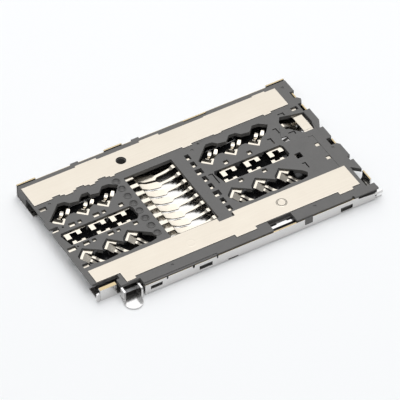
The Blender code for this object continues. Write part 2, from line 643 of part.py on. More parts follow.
def housing(look, parent):
    bm = bmesh.new()
    left, step = 0.18 * MM, 0.2 * MM
    outline = [
        (0, inset_y + 1.0 * MM),
        (CORNER_LENGTH - 1.63 * MM, inset_y + 1.0 * MM),
        (CORNER_LENGTH - 1.63 * MM, inset_y + 0.45 * MM),
        (CORNER_LENGTH - 2.0 * MM, inset_y + 0.45 * MM),
        (CORNER_LENGTH - 2.0 * MM, inset_y - 0.41 * MM),
        (CORNER_LENGTH, inset_y - 0.41 * MM),
        (CORNER_LENGTH, front_edge),
        (end, front_edge),
        (end, rear_edge),
        (bank_b[0] + 3.0 * MM, rear_edge),
        (bank_b[0] + 3.0 * MM, rear_edge - step),
        (bank_b[0] + 0.5 * MM, rear_edge - step),
        (bank_b[0] + 0.5 * MM, rear_edge),
        (left, rear_edge),
        (left, rear_corner + 1.0 * MM),
        (0, rear_corner + 1.0 * MM),
    ]
    add_prism(bm, outline, rail_low, plate_top)
    body = solid("housing", bm, look, parent)

    # Ledges over the shell's wall, the corner flange, the latch block and the pin bosses
    rim = bmesh.new()
    over = wall_top + FIT
    rooted = front_edge + 0.1 * MM
    ledge_step = card_left + 2.55 * MM
    flange_start = end - 2.55 * MM
    latch_start, latch_stop = latch_window()
    ledges = (
        (CORNER_LENGTH, ledge_step, shell_front + 0.06 * MM, over, over + 0.10 * MM),
        (ledge_step + 0.05 * MM, flange_start - 0.25 * MM, shell_front + 0.10 * MM, over, plate_top),
        (flange_start, end + 0.03 * MM, shell_front, over + FIT, plate_top),
        (latch_start + FIT, latch_stop - FIT, shell_front + 0.03 * MM, latch_low + FIT, over - FIT / 2),
    )
    for start, stop, front, low, high in ledges:
        add_prism(rim, rectangle(start, stop, front, rooted), low, high)
    for x in (bank_a[1] + 1.78 * MM, card_left + 3.10 * MM):
        boss = rectangle(x, x + 0.8 * MM, rear_edge - 0.1 * MM, shell_rear - 0.03 * MM)
        add_prism(rim, boss, over, plate_top)
    combine(body, "rim", rim, "UNION", overlapping=True)

    # The tray's slot, open at the mouth and over the lever
    slot = bmesh.new()
    slot_plan = [
        (-FAR, -3 * FAR),
        (CORNER_LENGTH, -3 * FAR),
        (CORNER_LENGTH, tray_front),
        (lever_room, tray_front),
        (lever_room, channel_front),
        (end + FAR, channel_front),
        (end + FAR, tray_rear),
        (-FAR, tray_rear),
    ]
    add_prism(slot, slot_plan, -FAR, plate_low)
    combine(body, "tray_slot", slot)
    channel = bmesh.new()
    channel_plan = rectangle(CORNER_LENGTH - FAR, end + FAR, channel_front, channel_rear)
    add_prism(channel, channel_plan, -FAR, floor_top + 2 * RUNNING_GAP + ROD_HEIGHT)
    combine(body, "rod_channel", channel)
    lead_in = bmesh.new()
    slope_top = plate_low + 0.22 * MM
    lead_profile = [
        (-FAR, -FAR),
        (0.80 * MM, -FAR),
        (0.80 * MM, plate_low - FIT),
        (0, slope_top),
        (-FAR, slope_top),
    ]
    add_prism(lead_in, lead_profile, inset_y + 0.5 * MM, tray_rear, "Y")
    combine(body, "lead_in", lead_in)

    openings = bmesh.new()
    for cut in housing_openings():
        add_prism(openings, cut, 0, FAR)
    combine(body, "openings", openings, overlapping=True)

    edges = bmesh.new()
    for low, high, depth in END_NOTCHES:
        add_prism(edges, rectangle(end - depth * MM, end + FAR, low * MM, high * MM), rail_low - FAR, FAR)
    for start, stop, depth in END_SLANTS:
        slant = [(end + FIT, start * MM), (end + FIT, stop * MM), (end - depth * MM, stop * MM)]
        add_prism(edges, slant, rail_low - FAR, FAR)
    rod_view = rectangle(*rod_window(), shell_front - FIT, channel_rear + 0.1 * MM)
    add_prism(edges, rod_view, plate_low - 2 * FIT, FAR)
    combine(body, "edges", edges, overlapping=True)

    recesses = bmesh.new()
    for plan in (rear_strip_outline(), front_strip_outline()):
        add_prism(recesses, grown(plan, FIT), recess_floor, FAR)
    combine(body, "recesses", recesses)

    grooves = bmesh.new()
    for plan, roof in groove_plans():
        add_prism(grooves, plan, plate_low - PLATE, roof)
    combine(body, "grooves", grooves, overlapping=True)

    marks = bmesh.new()
    for number in range(CARD_COUNT):
        y = CARD_FIRST_Y + 0.72 * MM - number * CARD_PITCH
        sink = [(MARK_RADIUS / 2, plate_top - MARK_DEPTH), (MARK_RADIUS, plate_top - MARK_DEPTH / 3)]
        add_turned(marks, card_left - 0.80 * MM, y, sink + [(MARK_RADIUS, plate_top + FIT)], 16)
    pin_marks = [
        (pivot[0] + 1.05 * MM, pivot[1] + 0.9 * MM),
        (end - 0.75 * MM, rear_edge - 0.80 * MM),
        (bank_a[1] + 3.54 * MM, front_edge + 0.66 * MM),
        (bank_b[2] + 0.31 * MM, front_edge + 0.66 * MM),
        (bank_a[0] + 0.13 * MM, rear_strip_in - 0.42 * MM),
        (bank_b[0] + 0.18 * MM, rear_strip_in - 0.38 * MM),
        (bank_b[0] - 0.72 * MM, rear_strip_in - 0.80 * MM),
    ]
    half = SWITCH_STRIP_WIDTH / 2
    band_rear = SWITCH_PAD_FRONT - 0.9 * MM
    band = rectangle(pivot[0] - half, pivot[0] + half, SWITCH_STRIP_FRONT, band_rear)
    add_prism(marks, band, plate_top - 0.03 * MM, FAR)
    for x, y in pin_marks:
        add_prism(marks, circle(x, y, 0.16 * MM, 10), plate_top - 0.08 * MM, FAR)
    right = bank_b[2]
    for x, y, width, depth in (
        (right + 2.12 * MM, rear_corner + 1.20 * MM, 0.42 * MM, 0.80 * MM),
        (right + 0.98 * MM, rear_corner + 0.28 * MM, 0.44 * MM, 0.85 * MM),
        (right + 3.18 * MM, rear_corner + 0.05 * MM, 0.68 * MM, 0.46 * MM),
        (right + 2.18 * MM, front_corner - 0.38 * MM, 0.40 * MM, 0.84 * MM),
        (right + 3.58 * MM, rear_corner + 2.72 * MM, 0.64 * MM, 0.46 * MM),
        (bank_b[0] - 1.09 * MM, SLOT_REAR - 0.10 * MM, 0.46 * MM, 1.50 * MM),
    ):
        add_prism(marks, hook(x, y, width, depth), plate_top - 0.25 * MM, FAR)
    combine(body, "marks", marks)
    return body


def groove_plans():
    """Where contacts, strips' feet and the switch are held under the plate, each with its roof."""
    plans = [(carrier_groove(x, side), groove_roof) for x in bank_a + bank_b for side in (1, -1)]
    for side, line in ((1, rear_corner), (-1, front_corner)):
        ends = sorted((line - side * (STUB_PLACE + FIT), line - side * (STUB_PLACE - STUB_WIDTH - FIT)))
        plans.append((rectangle(-FAR, bank_a[0], *ends), groove_roof))
    tongue_end_x = card_right + CARD_TONGUE + RUNNING_GAP
    for y in card_rows():
        tip, stub = CARD_TONGUE_WIDTH / 2 + FIT, CARD_STUB / 2 + RUNNING_GAP
        seat = y + CARD_STUB_LEAD
        plans.append((rectangle(card_right - FIT, tongue_end_x, y - tip, y + tip), groove_roof - FIT))
        stub_end = card_left + CARD_STUB_LENGTH + 0.25 * MM
        root = rectangle(card_left - 0.22 * MM, stub_end, seat - stub, seat + stub)
        plans.append((root, groove_roof))
    for x, edge, way in ear_places():
        ends = sorted((edge - way * (EAR_BEHIND + FIT), edge + way * (EAR_REACH + RUNNING_GAP)))
        plans.append((rectangle(x - EAR_HALF - FIT, x + EAR_HALF + FIT, *ends), contact_top))
        ends = sorted((edge - way * (EAR_BEHIND + FIT), edge - way * (EAR_BEHIND - STRIP - FIT)))
        plans.append((rectangle(x - EAR_HALF - FIT, x + EAR_HALF + FIT, *ends), strip_low))
    pad_left, pad_right = switch_pad_left(), switch_pad_right()
    pad_rear = SWITCH_PAD_FRONT + SWITCH_PAD_LENGTH
    anchor = rectangle(pad_left - FIT, pad_right + FIT, pad_rear, pad_rear + SWITCH_ANCHOR + FIT)
    plans.append((anchor, groove_roof))
    root = rectangle(pad_left - FIT, pad_right + FIT, SWITCH_PAD_FRONT - switch_fold - FIT, SWITCH_PAD_FRONT)
    plans.append((root, switch_strip_top + FIT))
    half = SWITCH_STRIP_WIDTH / 2 + FIT
    strip = rectangle(pivot[0] - half, pivot[0] + half, SWITCH_STRIP_FRONT - FIT, SWITCH_PAD_FRONT)
    plans.append((strip, switch_strip_top + FIT))
    blade, half = switch_blade_y(), SWITCH_BLADE_WIDTH / 2 + FIT
    seat = pad_left - SWITCH_BLADE_LEAD
    plans.append((rectangle(seat - FIT, seat + SWITCH_BLADE_ROOT, blade - half, blade + half), groove_roof))
    return plans


def rod_window():
    return (bank_b[0] + 0.50 * MM, bank_b[0] + 3.0 * MM)


def latch_window():
    return (bank_b[1] + 1.26 * MM, bank_b[1] + 2.11 * MM)


# The shell


def shell(look, parent):
    """One folded sheet: floor, front and rear walls, end wall, and the inset corner beside the mouth."""
    radius = SHEET
    profile = [(shell_front, wall_top)]
    profile += arc(shell_front + radius, radius, radius, 180, 270)
    profile += arc(shell_rear - radius, radius, radius, 270, 360)
    profile += [(shell_rear, strip_top), (shell_rear - SHEET, strip_top), (shell_rear - SHEET, SHEET)]
    profile += [(shell_front + SHEET, SHEET), (shell_front + SHEET, wall_top)]
    left, right = 0.13 * MM, tongue_end
    bm = bmesh.new()
    add_prism(bm, profile, left, right, "X")
    body = solid("shell", bm, look, parent)

    trim = bmesh.new()
    inner_front = shell_front + SHEET + WALL_GAP / 2
    inner_rear = shell_rear - SHEET - WALL_GAP / 2
    add_prism(trim, rectangle(-FAR, CORNER_LENGTH, shell_front - FAR, inset_y), -FAR, FAR)
    add_prism(trim, rectangle(-FAR, 0.83 * MM, inset_y + 1.8 * MM, rear_strip_in + 0.05 * MM), -FAR, FAR)
    add_prism(trim, rectangle(shell_end, end + FAR, inner_front, inner_rear), -FAR, FAR)
    add_prism(trim, rectangle(end - 0.05 * MM, end + FAR, inner_rear + FIT, shell_rear + FAR), -FAR, FAR)
    wall_end = end - 0.35 * MM
    add_prism(trim, rectangle(wall_end, end + FAR, shell_front - FAR, inner_front - FIT), -FAR, 0.60 * MM)
    add_prism(trim, rectangle(wall_end, end + FAR, shell_front - FAR, inner_front - FIT), 0.93 * MM, FAR)
    combine(body, "trim", trim)

    tops = bmesh.new()
    tabs = [(left, 2.0 * MM), (card_left + 0.15 * MM, 1.93 * MM), (end - 2.05 * MM, 2.0 * MM)]
    for (start, length), following in zip(tabs, tabs[1:]):
        gap = rectangle(start + length, following[0], shell_rear - 2 * SHEET, shell_rear + FAR)
        add_prism(tops, gap, wall_top, FAR)
    slant = [(end - 2.15 * MM, 0.99 * MM), (wall_end, 0.84 * MM), (wall_end, FAR), (end - 2.15 * MM, FAR)]
    add_prism(tops, slant, shell_front - FIT, shell_front + SHEET + FIT, "Y")
    combine(body, "tops", tops)

    windows = bmesh.new()
    for x, width, low, high in (
        (CORNER_LENGTH + 0.58 * MM, 1.22 * MM, 0.47 * MM, 0.90 * MM),
        (card_left + 0.68 * MM, 1.37 * MM, 0.36 * MM, 0.82 * MM),
        (end - 4.06 * MM, 1.28 * MM, 0.20 * MM, 0.72 * MM),
        (CORNER_LENGTH + 2.25 * MM, 0.16 * MM, 0.93 * MM, FAR),
        (card_left - 0.03 * MM, 0.21 * MM, 0.93 * MM, FAR),
        (card_left + 2.50 * MM, 0.16 * MM, 0.93 * MM, FAR),
        (latch_window()[0], latch_window()[1] - latch_window()[0], latch_low, FAR),
        (card_right - 1.36 * MM, 1.06 * MM, SHEET - FIT, SHEET + 0.12 * MM),
    ):
        add_prism(windows, rectangle(x, x + width, shell_front - FAR, shell_front + SHEET + FIT), low, high)
    rivet = circle(*pivot, RIVET_RADIUS + FIT, 24)
    add_prism(windows, rivet, -FAR, 2 * SHEET)
    for x in (MOUTH_TO_BANK + 2.0 * MM, bank_b[0] + 1.0 * MM):
        for y, way in ((tray_rear - 1.2 * MM, -1), (tray_front + 1.2 * MM, 1)):
            add_prism(windows, spring_slot(x, y, way), -FAR, 2 * SHEET)
    combine(body, "windows", windows)

    end_wall = bmesh.new()
    outer = shell_end
    wall_plan = rectangle(outer - SHEET, outer, channel_rear + 2.75 * MM, tray_rear - WALL_GAP)
    add_prism(end_wall, wall_plan, 0, plate_low - FIT)
    combine(body, "end_wall", end_wall, "UNION")
    tall = bmesh.new()
    tab_top = plate_top - 0.14 * MM
    for low, high, depth in END_NOTCHES:
        if depth * MM > end - shell_end + SHEET:
            tab = rectangle(outer - SHEET, outer, low * MM + WALL_GAP, high * MM - WALL_GAP)
            add_prism(tall, tab, 0.5 * MM, tab_top)
    corner_face = end + 0.12 * MM
    curl = 4 * SHEET
    corner = [(outer - 3 * SHEET, 0)] + arc(corner_face - curl, curl, curl, 270, 360, 5)
    corner += [(corner_face, tab_top), (corner_face - SHEET, tab_top)]
    corner += arc(corner_face - curl, curl, curl - SHEET, 360, 270, 5) + [(outer - 3 * SHEET, SHEET)]
    add_prism(tall, corner, channel_rear + 0.25 * MM, channel_rear + 1.60 * MM, "Y")
    inset = [
        (inset_y, 0),
        (inset_y, strip_low),
        (inset_y + 0.40 * MM, strip_low),
        (inset_y + 0.40 * MM, strip_low - SHEET),
        (inset_y + SHEET, strip_low - SHEET),
        (inset_y + SHEET, 0),
    ]
    add_prism(tall, inset, 0.33 * MM, 0.33 * MM + INSET_LENGTH, "X")
    lip = [
        (0.33 * MM + SHEET, inset_y + SHEET / 2),
        (lip_x, inset_y - 0.10 * MM),
        (lip_x, inset_y + 0.10 * MM),
        (0.33 * MM + SHEET, inset_y + SHEET),
    ]
    add_prism(tall, lip, 0.20 * MM, 1.05 * MM)
    combine(body, "folds", tall, "UNION", overlapping=True)
    return body


def spring_slot(x, y, way):
    """The U-shaped slot that frees a flat spring tongue in the floor."""
    length, width, line = 3.2 * MM, 0.9 * MM, 0.15 * MM
    far = y + way * width
    return [
        (x, y),
        (x + length, y),
        (x + length, far),
        (x, far),
        (x, far - way * line),
        (x + length - line, far - way * line),
        (x + length - line, y + way * line),
        (x, y + way * line),
    ]


# The ejector


def push_rod(look, parent):
    """One stamped strip on edge, with a round foot and two upturned legs for a head."""
    low = floor_top + RUNNING_GAP
    head_right = CORNER_LENGTH - 0.30 * MM
    half = ROD_THICKNESS / 2
    bm = bmesh.new()
    add_prism(bm, rectangle(-HEAD_LEG, rod_end - head_right, -half, half), low, low + ROD_HEIGHT)
    rod = solid("push_rod", bm, look, parent, (head_right, rod_y, 0))
    leg = bmesh.new()
    leg_front = -0.90 * MM
    leg_plan = [
        (leg_front, FIT),
        (half, FIT),
        (half, low + ROD_HEIGHT - FIT),
        (-half - FIT, HEAD_LEG_HEIGHT),
        (leg_front + 0.1 * MM, HEAD_LEG_HEIGHT),
        (leg_front, HEAD_LEG_HEIGHT - 0.2 * MM),
    ]
    add_prism(leg, leg_plan, -HEAD_LEG, 0, "X")
    combine(rod, "leg", leg, "UNION")
    radius = HEAD_LENGTH / 2
    foot = bmesh.new()
    centre = (-radius - 0.18 * MM, -HEAD_REACH + radius)
    plan = [(0, 0.25 * MM), (-HEAD_LENGTH, 0.25 * MM)] + arc(*centre, radius, 180, 360, 10)
    add_prism(foot, plan, FIT, FIT + SHEET)
    combine(rod, "foot", foot, "UNION")
    second = bmesh.new()
    back = 0.12 * MM
    second_plan = [
        (back, FIT),
        (back, HEAD_LEG_HEIGHT),
        (back - HEAD_LEG_WIDTH, HEAD_LEG_HEIGHT - 0.08 * MM),
        (back - HEAD_LEG_WIDTH, FIT),
    ]
    add_prism(second, second_plan, -HEAD_LENGTH, HEAD_LEG - HEAD_LENGTH, "X")
    combine(rod, "second_leg", second, "UNION")
    lug = bmesh.new()
    lug_x = rod_window()[0] + 0.8 * MM - head_right
    lug_plan = rectangle(lug_x, lug_x + 1.1 * MM, 0, half + 0.22 * MM)
    add_prism(lug, lug_plan, low + ROD_HEIGHT - SHEET, low + ROD_HEIGHT)
    combine(rod, "lug", lug, "UNION")
    return rod


def lever_outline():
    """Both arms as one outline: a round boss with two tapered arms that end in round noses."""
    boss = RIVET_RADIUS + LEVER_BOSS
    spread = math.degrees(math.asin(LEVER_WIDTH / 2 / boss))
    front = -90 + math.degrees(LEVER_FRONT_LEAN)
    rear = 90 + math.degrees(LEVER_REAR_LEAN)
    points = []
    for turn, length, following in ((front, PIVOT_TO_ROD, rear), (rear, LEVER_REAR_ARM, front + 360)):
        way = math.radians(turn)
        points += arc(length * math.cos(way), length * math.sin(way), LEVER_NOSE, turn - 90, turn + 90, 8)
        points += arc(0, 0, boss, turn + spread, following - spread, 8)
    return points


def eject_lever(look, parent):
    """The flat rocker under the far end, leaned so that its nose meets the rod."""
    low = floor_top + RUNNING_GAP
    bm = bmesh.new()
    add_prism(bm, lever_outline(), low, low + LEVER_SHEET)
    lever = solid("eject_lever", bm, look, parent, (*pivot, 0))
    bore = bmesh.new()
    add_prism(bore, circle(0, 0, RIVET_RADIUS + 2 * FIT, 24), -FAR, FAR)
    combine(lever, "bore", bore)
    return lever


def lever_rivet(look, parent):
    """Turned: flush in the shell's floor, with its head over the lever."""
    low = floor_top + LEVER_SHEET + 2 * RUNNING_GAP
    half_profile = [
        (RIVET_RADIUS, 0),
        (RIVET_RADIUS, low),
        (RIVET_HEAD_RADIUS, low),
        (RIVET_HEAD_RADIUS, low + RIVET_HEAD * 0.7),
        (RIVET_HEAD_RADIUS - 0.08 * MM, low + RIVET_HEAD),
    ]
    bm = bmesh.new()
    add_turned(bm, 0, 0, half_profile)
    return solid("lever_rivet", bm, look, parent, (*pivot, 0))


# The detect switch


def switch_pad_right():
    return end - SWITCH_PAD_FROM_END


def switch_pad_left():
    return switch_pad_right() - SWITCH_PAD_WIDTH


def switch_blade_y():
    return SWITCH_PAD_FRONT + SWITCH_PAD_LENGTH - SWITCH_BLADE_INSET


def switch_opening():
    """The opening round the pad, with room at its left for the blade."""
    left, right = switch_pad_left(), switch_pad_right()
    front, rear = SWITCH_PAD_FRONT - SWITCH_PAD_LEAD, SWITCH_PAD_FRONT + SWITCH_PAD_LENGTH
    room, tall = SWITCH_ROOM_LEFT, SWITCH_PAD_LENGTH
    far_right = right + SWITCH_ROOM_RIGHT
    return [
        (left - 0.08 * room, front),
        (right + SWITCH_ROOM_RIGHT / 4, front),
        (far_right, front + 0.48 * tall),
        (far_right, rear + SWITCH_PAD_LEAD),
        (left - 0.73 * room, rear + SWITCH_ROOM_REAR - SWITCH_PAD_LEAD),
        (left - room, rear + SWITCH_PAD_LEAD / 2),
        (left - 0.92 * room, front + 0.60 * tall),
        (left - 0.73 * room, front + 0.55 * tall),
    ]


def switch_terminal(look, parent):
    """The solder pad over the switch, folded down at both ends into strips held in the plate."""
    left, right = switch_pad_left(), switch_pad_right()
    half = SWITCH_STRIP_WIDTH / 2
    pad_top = plate_top - 0.03 * MM
    rear, front = SWITCH_PAD_FRONT + SWITCH_PAD_LENGTH, SWITCH_PAD_FRONT
    rows = [
        (rear + SWITCH_ANCHOR - FIT, left, right, contact_top),
        (rear + 0.30 * MM, left, right, contact_top),
        (rear, left, right, pad_top),
        (front + 0.10 * MM, left, right, pad_top),
        (front, left, right, pad_top - 0.06 * MM),
        (front - 0.08 * MM, left, right, switch_strip_top),
        (front - switch_fold, left, right, switch_strip_top),
        (front - switch_fold - FIT, pivot[0] - half, pivot[0] + half, switch_strip_top),
        (SWITCH_STRIP_FRONT, pivot[0] - half, pivot[0] + half, switch_strip_top),
    ]
    pairs = [((high, y, z), (low, y, z)) for y, low, high, z in rows]
    return sheet_piece("switch_terminal", ladder(pairs), look, parent, (0, 0, 0))


def switch_spring(look, parent):
    """The blade that the tray lifts, anchored under the plate and sprung under the pad."""
    half = SWITCH_BLADE_WIDTH / 2
    start = switch_pad_left() - SWITCH_BLADE_LEAD
    rows = [
        (0, contact_top),
        (SWITCH_BLADE_ROOT, contact_top),
        (0.75 * SWITCH_BLADE_LENGTH, contact_top - 0.9 * SWITCH_BLADE_DIP),
        (SWITCH_BLADE_LENGTH, contact_top - SWITCH_BLADE_DIP),
    ]
    pairs = [((x, half, z), (x, -half, z)) for x, z in rows]
    return sheet_piece("switch_spring", ladder(pairs), look, parent, (start, switch_blade_y(), 0))


def build():
    for old in list(bpy.data.objects):
        bpy.data.objects.remove(old, do_unlink=True)

    moulding = material("dark_moulding", (0.19, 0.185, 0.18), 0.55, 0.0)
    steel = material("bright_steel", (0.78, 0.77, 0.76), 0.25, 1.0)
    tin = material("tinned_strip", (0.90, 0.84, 0.76), 0.40, 1.0)
    gilt = material("plated_contact", (0.88, 0.82, 0.70), 0.22, 1.0)

    frame = bpy.data.objects.new("frame", None)
    bpy.context.scene.collection.objects.link(frame)
    frame.location = (-(lip_x + tongue_end) / 2, -(head_front + shell_rear) / 2, 0)

    housing(moulding, frame)
    shell(steel, frame)
    ground_strip("rear_ground_strip", rear_strip_outline(), ear_places()[0], tin, frame)
    ground_strip("front_ground_strip", front_strip_outline(), ear_places()[1], tin, frame)
    number = 1
    for corners, pads in ((bank_a, PADS_A), (bank_b, PADS_B)):
        for side in (1, -1):
            for x in corners:
                stub = STUB_LENGTH if x == bank_a[0] else 0.0
                sim_contact(f"sim_contact_{number}", x, side, gilt, frame, pads[side], stub)
                number += 1
    for number, y in enumerate(card_rows(), 1):
        card_contact(f"card_contact_{number}", y, gilt, frame)
    switch_terminal(tin, frame)
    switch_spring(gilt, frame)
    push_rod(steel, frame)
    eject_lever(steel, frame)
    lever_rivet(steel, frame)


build()
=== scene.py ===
import json
import math

import bmesh
import bpy
from mathutils import Euler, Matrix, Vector


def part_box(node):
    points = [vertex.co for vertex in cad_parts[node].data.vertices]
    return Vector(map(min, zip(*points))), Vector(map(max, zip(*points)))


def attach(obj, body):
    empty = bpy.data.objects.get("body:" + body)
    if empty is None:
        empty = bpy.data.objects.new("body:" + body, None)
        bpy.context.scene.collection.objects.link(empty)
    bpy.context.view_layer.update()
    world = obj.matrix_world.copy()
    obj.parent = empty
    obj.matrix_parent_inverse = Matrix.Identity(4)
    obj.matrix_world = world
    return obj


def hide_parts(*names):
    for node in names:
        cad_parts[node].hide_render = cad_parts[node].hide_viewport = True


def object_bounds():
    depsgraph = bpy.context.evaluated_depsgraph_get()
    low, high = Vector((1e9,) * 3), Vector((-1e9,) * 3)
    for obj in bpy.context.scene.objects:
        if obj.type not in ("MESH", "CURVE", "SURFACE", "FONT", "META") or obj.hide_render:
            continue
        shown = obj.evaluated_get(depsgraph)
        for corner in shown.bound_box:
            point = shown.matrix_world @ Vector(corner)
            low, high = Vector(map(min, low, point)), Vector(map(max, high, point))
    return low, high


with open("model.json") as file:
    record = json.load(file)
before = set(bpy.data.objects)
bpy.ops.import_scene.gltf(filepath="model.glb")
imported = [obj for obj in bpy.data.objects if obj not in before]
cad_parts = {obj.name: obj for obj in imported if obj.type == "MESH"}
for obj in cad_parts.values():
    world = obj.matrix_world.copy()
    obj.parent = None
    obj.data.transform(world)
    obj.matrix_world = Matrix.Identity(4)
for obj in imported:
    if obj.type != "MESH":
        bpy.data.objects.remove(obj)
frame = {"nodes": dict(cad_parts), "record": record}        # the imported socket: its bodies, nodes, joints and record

mm = 0.001
weldGap = 0.0001         # vertices nearer than this are one
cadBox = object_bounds()     # the bounds of the imported parts
recordSlots = {entry["node"]: entry["material_slot"] for entry in frame["record"]["subparts"]}
bodyNodes = frame["record"]["behaviour"]["bodies"]
nodeBodies = {name: body for body, names in bodyNodes.items() for name in names}
print("frame loaded:", len(frame["nodes"]), "nodes")


# Small helpers for node trees

colourA, colourB, colourOut = 6, 7, 2     # a Mix node's sockets share their names, so they go by number
floatA, floatB = 2, 3
intA, intB = 2, 3                         # and so do a whole-number Compare node's


def addNode(tree, kind, place=(0, 0), **settings):
    node = tree.nodes.new(kind)
    node.location = (place[0] * 200, place[1] * 200)
    for key, value in settings.items():
        setattr(node, key, value)
    return node


def wire(tree, *steps):
    # every step is (node, output, node, input)
    for source, output, target, socket in steps:
        tree.links.new(source.outputs[output], target.inputs[socket])


def fill(node, **values):
    for key, value in values.items():
        node.inputs[key.replace("_", " ")].default_value = value


def sums(tree, operation, first, second, place=(0, 0)):
    # a Math node whose sides are numbers or (node, output) pairs
    node = addNode(tree, "ShaderNodeMath", place, operation=operation)
    for socket, side in enumerate((first, second)):
        if isinstance(side, tuple):
            tree.links.new(side[0].outputs[side[1]], node.inputs[socket])
        else:
            node.inputs[socket].default_value = side
    return node, 0


def ruleCurve(tree, source, points, place=(0, 0)):
    # a drawn rule: places along the piece against a share of the full size
    node = addNode(tree, "ShaderNodeFloatCurve", place)
    line = node.mapping.curves[0]
    line.points[0].location, line.points[1].location = points[0], points[-1]
    for point in points[1:-1]:
        line.points.new(*point)
    for point in line.points:
        point.handle_type = "AUTO_CLAMPED"
    node.mapping.update()
    tree.links.new(source[0].outputs[source[1]], node.inputs["Value"])
    return node, 0


# Finishes

# each finish's worn colour is the lighter tone of its rounded edges: partly wear, partly a painted highlight
finishes = {
    "moulding": {"dark": (0.060, 0.057, 0.054), "light": (0.176, 0.171, 0.164),
                 "wornAndHighlight": (0.27, 0.265, 0.26), "rough": (0.46, 0.62), "metal": 0.0, "patch": 700,
                 "grain": 16000, "stretch": (1, 1, 1), "bump": 0.30},
    "tin": {"dark": (0.535, 0.480, 0.405), "light": (0.680, 0.630, 0.545), "wornAndHighlight": (0.88, 0.83, 0.77),
            "rough": (0.28, 0.36), "metal": 1.0, "patch": 260, "grain": 6000, "stretch": (0.05, 1, 1),
            "bump": 0.03},
    "steel": {"dark": (0.60, 0.59, 0.58), "light": (0.78, 0.77, 0.76), "wornAndHighlight": (0.93, 0.92, 0.91),
              "rough": (0.10, 0.18), "metal": 1.0, "patch": 300, "grain": 9000, "stretch": (0.05, 1, 1),
              "bump": 0.08},
    "contact": {"dark": (0.64, 0.58, 0.48), "light": (0.80, 0.745, 0.655), "wornAndHighlight": (0.92, 0.89, 0.83),
                "rough": (0.12, 0.24), "metal": 1.0, "patch": 1200, "grain": 12000, "stretch": (0.3, 1, 1),
                "bump": 0.05},
    "lever_steel": {"dark": (0.60, 0.58, 0.54), "light": (0.78, 0.76, 0.71),
                    "wornAndHighlight": (0.88, 0.87, 0.84), "rough": (0.22, 0.34), "metal": 1.0, "patch": 500,
                    "grain": 8000, "stretch": (0.1, 1, 1), "bump": 0.10},
}
surfaceNoise = {"patchDetail": 4.0, "patchRough": 0.6, "grainDetail": 3.0, "grainRough": 0.55,
                "grainShare": 0.4, "roughSpan": (0.3, 0.7), "bumpDepth": 0.01}

# What the press left on the front strip
pressMarks = {
    "ring": {"place": (5.50, -5.22), "radius": 0.45, "depth": 1.0},
    "faintRing": {"place": (-4.37, -5.57), "radius": 0.40, "depth": 0.12},
}
markRidge = {"width": 0.10, "height": 0.045}


def markHeight(tree, place, marks):
    # a low ridge round each mark, from the distance to its centre
    total = None
    for number, mark in enumerate(marks.values()):
        flat = addNode(tree, "ShaderNodeVectorMath", (-5, -3 - number), operation="MULTIPLY")
        flat.inputs[1].default_value = (1, 1, 0)
        away = addNode(tree, "ShaderNodeVectorMath", (-4, -3 - number), operation="DISTANCE")
        away.inputs[1].default_value = (mark["place"][0] * mm, mark["place"][1] * mm, 0)
        wire(tree, (place, "Object", flat, 0), (flat, 0, away, 0))
        off = sums(tree, "SUBTRACT", (away, "Value"), mark["radius"] * mm, (-3, -3 - number))
        size = sums(tree, "ABSOLUTE", off, 0.0, (-2.5, -3 - number))
        ridge = addNode(tree, "ShaderNodeMapRange", (-2, -3 - number), interpolation_type="SMOOTHSTEP")
        fill(ridge, From_Min=0.0, From_Max=markRidge["width"] * mm, To_Min=mark["depth"], To_Max=0.0)
        wire(tree, (size[0], 0, ridge, "Value"))
        total = (ridge, "Result") if total is None else sums(tree, "ADD", total, (ridge, "Result"))
    return total


def within(tree, value, low, high):
    over = sums(tree, "GREATER_THAN", value, low)
    return sums(tree, "MULTIPLY", over, sums(tree, "LESS_THAN", value, high))


# Painted shade: the shell floor under each bank of SIM contacts is coloured near black and not metal, standing in for
# the shade there; the shell's sheared rims show brass
shellShadeAndRims = {
    "shadeBanks": ((-14.35, -6.1), (1.4, 10.1)), "shadeRows": (-4.3, 5.2), "shadeHeight": (0.10, 0.20),
    "paintedShade": (0.012, 0.012, 0.013),
    "rimHeight": 1.12, "rimUpwards": 0.7, "rim": (0.50, 0.40, 0.24),
}


def paintShellShadeAndRims(material, look):
    tree = material.node_tree
    shader = tree.nodes["Principled BSDF"]
    place = addNode(tree, "ShaderNodeTexCoord", (-6, 5))
    split = addNode(tree, "ShaderNodeSeparateXYZ", (-5, 5))
    facing = addNode(tree, "ShaderNodeSeparateXYZ", (-5, 4))
    wire(tree, (place, "Object", split, 0), (place, "Normal", facing, 0))
    banks = [within(tree, (split, "X"), low * mm, high * mm) for low, high in look["shadeBanks"]]
    rows = within(tree, (split, "Y"), *(side * mm for side in look["shadeRows"]))
    level = within(tree, (split, "Z"), *(side * mm for side in look["shadeHeight"]))
    # painted shade: near black on the shell floor under the banks, where it lies in shade
    paintedShade = sums(tree, "MULTIPLY", sums(tree, "ADD", *banks), sums(tree, "MULTIPLY", rows, level))
    high = sums(tree, "GREATER_THAN", (split, "Z"), look["rimHeight"] * mm)
    rim = sums(tree, "MULTIPLY", high, sums(tree, "GREATER_THAN", (facing, "Z"), look["rimUpwards"]))
    base = shader.inputs["Base Color"].links[0].from_socket
    brass = addNode(tree, "ShaderNodeMix", (0, 3), data_type="RGBA")
    brass.inputs[colourB].default_value = (*look["rim"], 1)
    dark = addNode(tree, "ShaderNodeMix", (1, 3), data_type="RGBA")
    dark.inputs[colourB].default_value = (*look["paintedShade"], 1)
    tree.links.new(base, brass.inputs[colourA])
    metal = sums(tree, "SUBTRACT", 1.0, paintedShade)     # the painted shade is no metal
    wire(tree, (rim[0], 0, brass, 0), (brass, colourOut, dark, colourA), (paintedShade[0], 0, dark, 0),
         (dark, colourOut, shader, "Base Color"), (metal[0], 0, shader, "Metallic"))


